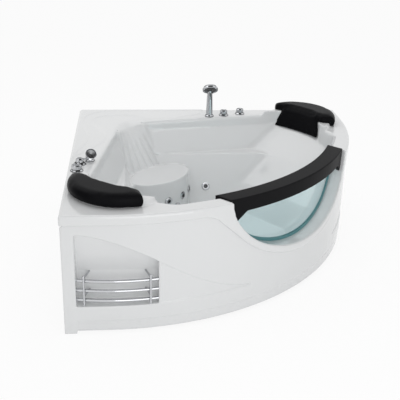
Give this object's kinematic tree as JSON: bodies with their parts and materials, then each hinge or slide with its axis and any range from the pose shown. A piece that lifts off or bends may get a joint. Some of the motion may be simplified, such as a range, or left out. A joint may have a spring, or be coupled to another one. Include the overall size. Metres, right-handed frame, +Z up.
{
  "type": "corner bathtub",
  "caption": "Corner bath with water jets, curved glass front, corner seat, head pillows, deck taps, hand shower, towel recess, pump and steel frame.",
  "frame": {"origin": "on the floor at the middle of the square footprint", "axes": "+Z up; the room walls are at -X and +Y, the curved front faces the +X, -Y corner"},
  "size_m": [1.5, 1.5, 0.7554],
  "materials": {
    "white_acrylic": "polished sanitary acrylic",
    "apron_white": "polished sanitary acrylic",
    "tinted_glass": "clear, faint blue-green",
    "black_rubber": "satin",
    "black_gloss": "polished",
    "pillow_foam": "soft skin, satin",
    "chrome": "polished",
    "spout_chrome": "polished",
    "jet_insert": "dark, glossy",
    "zinc_steel": "zinc plated, dull",
    "grey_pvc": "moulded",
    "pump_black": "moulded",
    "motor_grey": "painted",
    "valve_brass": "cast and turned"
  },
  "bodies": {
    "root": {"air_control_inner_base": "chrome", "air_control_outer_base": "chrome", "apron_brackets": "zinc_steel", "deck_backnuts": "grey_pvc", "diverter_base": "chrome", "drain_body": "chrome", "drain_trap": "grey_pvc", "foot_nuts": "zinc_steel", "foot_pads": "black_rubber", "foot_studs": "zinc_steel", "frame_chord": "zinc_steel", "frame_outriggers": "zinc_steel", "frame_rail_back": "zinc_steel", "frame_rail_left": "zinc_steel", "frame_ribs": "zinc_steel", "frame_uprights": "zinc_steel", "front_apron": "apron_white", "handrail": "black_gloss", "jet_backnuts": "grey_pvc", "jet_housings": "chrome", "jet_manifold": "grey_pvc", "mixer_base": "chrome", "mixer_valve": "valve_brass", "overflow_body": "chrome", "overflow_pipe": "grey_pvc", "pillow_left": "pillow_foam", "pillow_right": "pillow_foam", "pressure_pipe_left": "grey_pvc", "pressure_pipe_right": "grey_pvc", "pump_motor": "motor_grey", "pump_stand": "zinc_steel", "pump_wet_end": "pump_black", "seat_supports": "zinc_steel", "shower_collar": "chrome", "spout_dish": "spout_chrome", "spout_foot": "chrome", "suction_grille": "chrome", "suction_pipe": "grey_pvc", "towel_bars": "chrome", "towel_brackets": "chrome", "towel_posts": "chrome", "tub_shell": "white_acrylic", "waste_pipe": "grey_pvc", "window_glass": "tinted_glass", "window_seal": "black_rubber"},
    "air_control_inner_knob": {"air_control_inner_knob": "chrome"},
    "air_control_outer_knob": {"air_control_outer_knob": "chrome"},
    "diverter_lever": {"diverter_lever": "chrome"},
    "drain_plug": {"drain_plug": "chrome"},
    "hand_shower": {"hand_shower": "chrome"},
    "jet_nozzle_seat_left_inner": {"jet_nozzle_seat_left_inner": "jet_insert"},
    "jet_nozzle_seat_left_outer": {"jet_nozzle_seat_left_outer": "jet_insert"},
    "jet_nozzle_seat_right_inner": {"jet_nozzle_seat_right_inner": "jet_insert"},
    "jet_nozzle_seat_right_outer": {"jet_nozzle_seat_right_outer": "jet_insert"},
    "jet_nozzle_side_left": {"jet_nozzle_side_left": "jet_insert"},
    "jet_nozzle_side_right": {"jet_nozzle_side_right": "jet_insert"},
    "mixer_knob": {"mixer_knob": "chrome"},
    "overflow_knob": {"overflow_knob": "chrome"}
  },
  "joints": [
    {"name": "air_control_inner_turn", "type": "hinge", "parent": "root", "child": "air_control_inner_knob", "pos_m": [0.079, 0.64, 0.56], "axis": [0, 0, 1], "range_deg": [0, 270]},
    {"name": "air_control_outer_turn", "type": "hinge", "parent": "root", "child": "air_control_outer_knob", "pos_m": [0.176, 0.667, 0.56], "axis": [0, 0, 1], "range_deg": [0, 270]},
    {"name": "mixer_turn", "type": "hinge", "parent": "root", "child": "mixer_knob", "pos_m": [-0.705, -0.233, 0.56], "axis": [0, 0, 1], "range_deg": [-90, 90]},
    {"name": "diverter_turn", "type": "hinge", "parent": "root", "child": "diverter_lever", "pos_m": [-0.696, -0.147, 0.56], "axis": [0, 0, 1], "range_deg": [0, 90]},
    {"name": "hand_shower_lift", "type": "slide", "parent": "root", "child": "hand_shower", "axis": [0, 0, 1], "range_m": [0, 0.12]},
    {"name": "overflow_turn", "type": "hinge", "parent": "root", "child": "overflow_knob", "pos_m": [-0.13575, -0.58813, 0.47], "axis": [-0.342, 0.9397, 0], "range_deg": [0, 90]},
    {"name": "drain_plug_lift", "type": "slide", "parent": "root", "child": "drain_plug", "axis": [0, 0, 1], "range_m": [0, 0.012]},
    {"name": "nozzle_turn_seat_left_outer", "type": "hinge", "parent": "root", "child": "jet_nozzle_seat_left_outer", "pos_m": [-0.35441, 0.13829, 0.222], "axis": [0.1925, -0.9813, 0], "range_deg": [0, 120]},
    {"name": "nozzle_turn_seat_left_inner", "type": "hinge", "parent": "root", "child": "jet_nozzle_seat_left_inner", "pos_m": [-0.25753, 0.17763, 0.222], "axis": [0.5461, -0.8377, 0], "range_deg": [0, 120]},
    {"name": "nozzle_turn_seat_right_inner", "type": "hinge", "parent": "root", "child": "jet_nozzle_seat_right_inner", "pos_m": [-0.17763, 0.25753, 0.222], "axis": [0.8377, -0.5461, 0], "range_deg": [0, 120]},
    {"name": "nozzle_turn_seat_right_outer", "type": "hinge", "parent": "root", "child": "jet_nozzle_seat_right_outer", "pos_m": [-0.13829, 0.35441, 0.222], "axis": [0.9813, -0.1925, 0], "range_deg": [0, 120]},
    {"name": "nozzle_turn_side_left", "type": "hinge", "parent": "root", "child": "jet_nozzle_side_left", "pos_m": [-0.40154, 0.038, 0.215], "axis": [0.8805, 0, 0.4741], "range_deg": [0, 120]},
    {"name": "nozzle_turn_side_right", "type": "hinge", "parent": "root", "child": "jet_nozzle_side_right", "pos_m": [-0.038, 0.40154, 0.215], "axis": [0, -0.8805, 0.4741], "range_deg": [0, 120]}
  ],
  "couplings": [
    {"joint": "drain_plug_lift", "follows": "overflow_turn", "m_per_rad": 0.00763}
  ]
}
